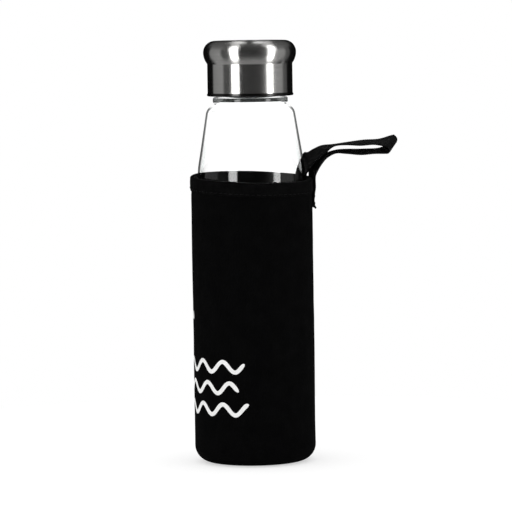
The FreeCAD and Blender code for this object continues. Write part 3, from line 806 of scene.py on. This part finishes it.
def make_base_stitches():
    """Stitches across the bottom seam, inside the sleeve."""
    reach = SLEEVE_CORNER - SLEEVE_SKIN - 0.35
    centre = SLEEVE_RADIUS - SLEEVE_CORNER
    count = 67
    paths = []
    for index in range(count):
        path = []
        for part in range(5):
            turn = math.radians(-45 + (part / 4 - 0.5) * 32)
            size = reach + 0.25 * (abs(part - 2) / 2) ** 2
            path.append(round_axis(centre + size * math.cos(turn), 360 * index / count,
                                   SLEEVE_CORNER + size * math.sin(turn)))
        paths.append(path)
    sew("base_sewing", paths, 0.18, "base_seam_stitches")


def sewn(radius, degrees, height, bend=1):
    """A place of webbing that lies on the round wall: its middle, the way across it, and how far it hollows.
    bend is -1 where the webbing runs down."""
    hollow = bend * STRAP_WIDTH ** 2 / (8 * radius)
    return (round_axis(radius, degrees, height), round_axis(1, degrees + 90, 0), hollow)


def free(x, y, z, across_x, across_y, across_z):
    """A place of free webbing: its middle and the way across it."""
    return (Vector((x, y, z)), Vector((across_x, across_y, across_z)).normalized(), 0.0)


def strap_places():
    """The whole webbing from its inner sewn end, round the loop, to its outer sewn end."""
    pocket = SLEEVE_INNER + 0.13
    inner = [sewn(pocket, INNER_END_TURN, height) for height in (140.2, 145.0, 150.0, 154.6)]
    rise = [free(28.5, 10.6, 158.6, -0.32, 0.9, 0.3), free(30.3, 9.8, 161.8, -0.22, 0.79, 0.57),
            free(32.9, 9.0, 164.0, -0.25, 0.91, 0.32), free(35.8, 8.2, 166.0, -0.22, 0.93, 0.29)]
    upper = [free(39.6, 7.4, 168.3, -0.12, 0.96, 0.22), free(45.0, 6.4, 170.3, 0.0, 1.0, 0.0),
             free(52.0, 5.0, 171.2, 0.08, 0.99, 0.03), free(60.0, 3.0, 171.6, 0.15, 0.97, 0.14),
             free(68.0, 0.6, 172.1, 0.22, 0.95, 0.15)]
    centre = Vector((74.8, -1.6, 170.7))
    across = Vector((0.31, 0.87, 0.37)).normalized()
    up = (Vector((0, 0, 1)) - across * across.z).normalized()
    out = across.cross(up)
    tip_round = 2.1
    tip = [(centre + (out * math.cos(math.radians(turn)) + up * math.sin(math.radians(turn))) * tip_round,
            across, 0.0) for turn in range(90, -91, -30)]
    lower = [free(68.0, 0.6, 167.2, 0.22, 0.95, 0.15), free(60.0, 2.6, 166.7, 0.15, 0.97, 0.15),
             free(52.0, 4.2, 167.0, 0.07, 0.99, 0.1), free(46.0, 4.9, 166.9, 0.0, 1.0, 0.04),
             free(40.4, 5.7, 164.8, -0.14, 0.985, 0.06)]
    fall = [free(36.4, 6.2, 161.6, -0.28, 0.955, 0.07), free(33.9, 6.8, 157.6, -0.3, 0.95, 0.03)]
    low = SLEEVE_RADIUS + STRAP_GAP + STRAP_SKIN / 2
    high = low + 0.85
    rests = ((high, 153.4), (high, 148.0), (low + 0.35, 144.4), (low, 140.2), (low + 0.35, 138.1),
             (low + 1.1, 136.8))
    outer = [sewn(radius, OUTER_END_TURN, height, -1) for radius, height in rests]
    return inner + rise + upper + tip + lower + fall + outer


def along_places(places, step):
    """Evenly spaced places on a smooth line through the given ones, with the length so far."""
    fine = []
    last = len(places) - 1
    for index in range(last):
        around = [places[clamp(index + shift, 0, last)] for shift in (-1, 0, 1, 2)]
        parts = 24
        for part in range(parts if index < last - 1 else parts + 1):
            share = part / parts
            weights = (
                -0.5 * share + share ** 2 - 0.5 * share ** 3,
                1 - 2.5 * share ** 2 + 1.5 * share ** 3,
                0.5 * share + 2 * share ** 2 - 1.5 * share ** 3,
                -0.5 * share ** 2 + 0.5 * share ** 3,
            )
            middle = sum((place[0] * weight for place, weight in zip(around, weights)), Vector())
            across = sum((place[1] * weight for place, weight in zip(around, weights)), Vector())
            hollow = sum(place[2] * weight for place, weight in zip(around, weights))
            fine.append((middle, across.normalized(), hollow))
    out = [(*fine[0], 0.0)]
    travelled = 0.0
    due = step
    for before, after in zip(fine, fine[1:]):
        length = (after[0] - before[0]).length
        while length > 0 and travelled + length >= due:
            share = (due - travelled) / length
            out.append((before[0].lerp(after[0], share), before[1].lerp(after[1], share).normalized(),
                        before[2] + (after[2] - before[2]) * share, due))
            due += step
        travelled += length
    return out


def weave(along, across):
    """The relief of the webbing: rows of yarn that pass over and under by turns, from 0 to 1."""
    column = across / YARN_WIDTH
    row = along / YARN_STEP + 0.5 * (math.floor(column) % 2)
    return abs(math.sin(math.pi * column)) ** 0.7 * abs(math.sin(math.pi * row)) ** 0.7


def make_strap():
    """The whole webbing in one woven piece, sewn at both ends and bent where the loop swings."""
    places = along_places(strap_places(), 0.23)
    half_width = STRAP_WIDTH / 2
    half_skin = STRAP_SKIN / 2
    columns = 62
    section = []
    for side in (1, -1):
        for index in range(columns + 1):
            share = index / columns * 2 - 1
            section.append((share * side, side))
    points = []
    coordinates = []
    for index, (middle, across, hollow, length) in enumerate(places):
        before = places[max(index - 2, 0)][0]
        after = places[min(index + 2, len(places) - 1)][0]
        normal = across.cross(after - before).normalized()
        edge_wave = 0.10 * math.sin(2 * math.pi * length / YARN_STEP)
        edge_wave += 0.12 * noise.noise(Vector((length * 0.13, 3.0, 1.0)))
        for share, side in section:
            reach = share * (half_width - 0.12 + edge_wave * abs(share) ** 6)
            rim = math.sqrt(max(0.0, 1 - abs(share) ** 16))
            relief = 0.16 * (weave(length, reach + 20) - 0.8)
            lift = side * rim * (half_skin - 0.06 + relief) - hollow * share ** 2
            ripple = 0.10 * noise.noise(Vector((length * 0.09, share * 0.8, 7.0)))
            if abs(hollow) < 0.4:
                lift += ripple
            points.append(middle + across * reach + normal * lift)
            coordinates.append((length * MM, reach * MM))
    ring = len(section)
    faces = []
    for index in range(len(places) - 1):
        for part in range(ring):
            after = (part + 1) % ring
            low, high = index * ring, (index + 1) * ring
            faces.append((low + part, low + after, high + after, high + part))
    faces.append(tuple(reversed(range(ring))))
    faces.append(tuple((len(places) - 1) * ring + part for part in range(ring)))
    piece = new_object("wrist_strap", points, faces, sharp=60.0)
    layer = piece.data.uv_layers.new(name="webbing")
    for loop in piece.data.loops:
        layer.data[loop.index].uv = coordinates[loop.vertex_index]
    piece.data.materials.append(materials["webbing"])
    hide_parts("strap_inner_end", "strap_outer_end", "strap_loop")
    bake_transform(piece)

def make_tack_stitches():
    """Two rows of stitches that hold the webbing's outer end."""
    radius = SLEEVE_RADIUS + STRAP_GAP + STRAP_SKIN + 0.06
    paths = []
    for height in (139.2, 143.2):
        for index in range(7):
            degrees = OUTER_END_TURN + math.degrees((index - 3) * 1.6 / radius)
            paths.append([round_axis(radius + 0.1 - 0.4 * (abs(part - 3) / 3) ** 3, degrees,
                                     height + (part - 3) * 0.32) for part in range(7)])
    sew("strap_sewing", paths, 0.2, "strap_tack_stitches")


def ink_strip(line, widths):
    """Points and faces of a printed line on the sleeve through places of (turn, height)."""
    points = []
    faces = []
    columns = 6
    for index, (turn, height) in enumerate(line):
        before = line[max(index - 1, 0)]
        after = line[min(index + 1, len(line) - 1)]
        way = Vector((math.radians(after[0] - before[0]) * SLEEVE_RADIUS, after[1] - before[1])).normalized()
        side = Vector((-way.y, way.x))
        for part in range(columns + 1):
            share = part / columns * 2 - 1
            offset = side * (widths[index] / 2 * share)
            degrees = turn + math.degrees(offset.x / SLEEVE_RADIUS)
            level = height + offset.y
            rise = 0.13 if abs(share) < 0.99 else 0.03
            points.append(round_axis(sleeve_surface(math.radians(degrees), level) + rise, degrees, level))
    for index in range(len(line) - 1):
        for part in range(columns):
            low = index * (columns + 1) + part
            high = low + columns + 1
            faces.append((low, high, high + 1, low + 1))
    return points, faces


def make_motif():
    """Three hand-drawn waves and a row of drops, in white."""
    points = []
    faces = []

    def add(more, sheets):
        faces.extend(tuple(len(points) + index for index in face) for face in sheets)
        points.extend(more)

    wave_turn = 26.0
    parts = 36
    rows = ((31.0, -206, 4.25), (42.5, -199, 3.6), (54.0, -206, 4.1))
    for number, (height, first, waves) in enumerate(rows):
        count = round(waves * parts)
        line = []
        widths = []
        for index in range(count + 1):
            phase = 2 * math.pi * index / parts
            wander = 0.35 * noise.noise(Vector((index * 0.05, number * 5.0, 0.0)))
            line.append((first + wave_turn * index / parts, height + 2.8 * math.sin(phase) + wander))
            end = min(index, count - index) / 5
            cap = math.sqrt(clamp(1 - (1 - clamp(end)) ** 2, 0.02, 1))
            width = 2.25 + 0.35 * noise.noise(Vector((index * 0.11, number * 2.0, 9.0)))
            width += 0.10 * noise.noise(Vector((index * 0.9, number * 3.0, 2.0)))
            widths.append(width * cap)
        add(*ink_strip(line, widths))
    for turn in (-205, -188, -171):
        line = []
        widths = []
        for index in range(25):
            share = index / 24
            line.append((turn, 78.0 + 4.6 * share))
            fullness = math.sqrt(clamp(math.sin(math.pi * share ** 0.72)))
            widths.append(3.4 * fullness * (1 - 0.45 * share) + 0.02)
        add(*ink_strip(line, widths))
    piece = new_object("water_motif", points, faces)
    dress(piece, ink_material(), "sleeve", "print_ink", "printed_motif")

# The studio

def plain_light(tree, strength):
    """White of one brightness."""
    return node(tree, "ShaderNodeBackground", {"Color": (1, 1, 1, 1), "Strength": strength}).outputs[0]


def studio_light(tree, turn, levels):
    """Light by its direction's turn from the front, through (turn in degrees, brightness) in rising order."""
    most = max(level for _, level in levels)
    share = maths(tree, "ADD", maths(tree, "DIVIDE", turn, 2 * math.pi), 0.5)
    ramp = colour_ramp(tree, share, [(degrees / 360 + 0.5, level / most) for degrees, level in levels])
    return node(tree, "ShaderNodeBackground", {"Color": ramp, "Strength": most}).outputs[0]


def mix_light(tree, share, first, second):
    """The first light where the share is 0, and the second where it is 1."""
    return node(tree, "ShaderNodeMixShader", {0: share, 1: first, 2: second}).outputs[0]


def make_floor():
    """A small round pale floor, just under the bottle."""
    points = [round_axis(FLOOR_RADIUS, 360 * part / 96, 0) for part in range(96)]
    floor = new_object("floor", points, [tuple(range(96))])
    floor.location.z = -0.0002
    floor.data.materials.append(floor_material())


def make_studio():
    """White all round for the eye and for the light on the fabric. Mirrors see tall soft boxes in a dark
    room instead, and glass lets an even, brighter white through."""
    world = bpy.data.worlds.new("studio")
    bpy.context.scene.world = world
    world.use_nodes = True
    tree = world.node_tree
    tree.nodes.clear()
    parts = node(tree, "ShaderNodeSeparateXYZ", {0: node(tree, "ShaderNodeTexCoord").outputs["Generated"]})
    turn = maths(tree, "ARCTAN2", parts.outputs["X"], times(tree, parts.outputs["Y"], -1.0))
    walls = studio_light(tree, turn, [
        (-180, 0.005), (-121, 0.005), (-117.5, 0.27), (-80, 0.33), (-75, 0.07), (-52, 0.06), (-47, 6.4),
        (-32.5, 6.4), (-29.5, 0.03), (10, 0.02), (28, 0.04), (38, 0.12), (47, 0.35), (51.5, 6.4), (63.5, 6.4),
        (66, 0.4), (98, 0.33), (104, 0.12), (119, 0.09), (122, 0.005), (180, 0.005)])
    high = studio_light(tree, turn, [
        (-180, 0.05), (-150, 0.1), (-80, 0.15), (-62, 0.1), (-56, 4.0), (-38, 4.0), (-32, 0.05), (36, 0.06),
        (54, 0.15), (59, 4.0), (74, 4.0), (80, 0.15), (150, 0.1), (180, 0.05)])
    ceiling = studio_light(tree, turn, [
        (-180, 0.05), (-175, 0.06), (-172, 2.6), (-160, 2.6), (-152, 0.12), (-64, 0.1), (-58, 1.6),
        (-42, 1.6), (-36, 0.05), (40, 0.06), (56, 0.15), (62, 1.6), (76, 1.6), (82, 0.15), (152, 0.12),
        (160, 2.6), (172, 2.6), (175, 0.06), (180, 0.05)])
    room = walls
    for low, full, light in ((0.3, 0.5, high), (0.72, 0.82, ceiling), (0.9, 0.96, plain_light(tree, 0.11))):
        room = mix_light(tree, remap(tree, parts.outputs["Z"], low, full, kind="SMOOTHSTEP"), room, light)
    ray = node(tree, "ShaderNodeLightPath")
    seen = mix_light(tree, ray.outputs["Is Glossy Ray"], plain_light(tree, 1.0), room)
    seen = mix_light(tree, ray.outputs["Is Transmission Ray"], seen, plain_light(tree, 1.25))
    node(tree, "ShaderNodeOutputWorld", {0: seen})
    world.cycles.sampling_method = "NONE"


def make_camera():
    """A long lens a little above the bottle, rolled by less than a degree."""
    aside = 0.0018
    eye = Vector((aside, -1.9, 0.253))
    aim = Vector((aside, 0.0, 0.1112))
    roll = Quaternion((0, 0, 1), math.radians(-0.88))
    camera = bpy.data.objects.new("camera", bpy.data.cameras.new("camera"))
    camera.data.sensor_width = 36.0
    camera.data.lens = 247.2
    camera.location = eye
    camera.rotation_mode = "QUATERNION"
    camera.rotation_quaternion = (aim - eye).to_track_quat("-Z", "Y") @ roll
    camera.data.clip_start = 0.05
    camera.data.clip_end = 50
    bpy.context.scene.collection.objects.link(camera)
    bpy.context.scene.camera = camera
    bpy.context.scene.view_settings.view_transform = "Standard"


materials = {
    "neoprene": neoprene_material(),
    "binding": binding_material(),
    "webbing": webbing_material(),
    "thread": thread_material(),
}
make_camera()
make_floor()
make_studio()
make_glass()
make_cap()
make_liner()
make_seal()
make_sleeve()
make_sleeve_base()
make_binding()
make_rim_stitches()
make_side_stitches()
make_base_stitches()
make_strap()
make_tack_stitches()
make_motif()
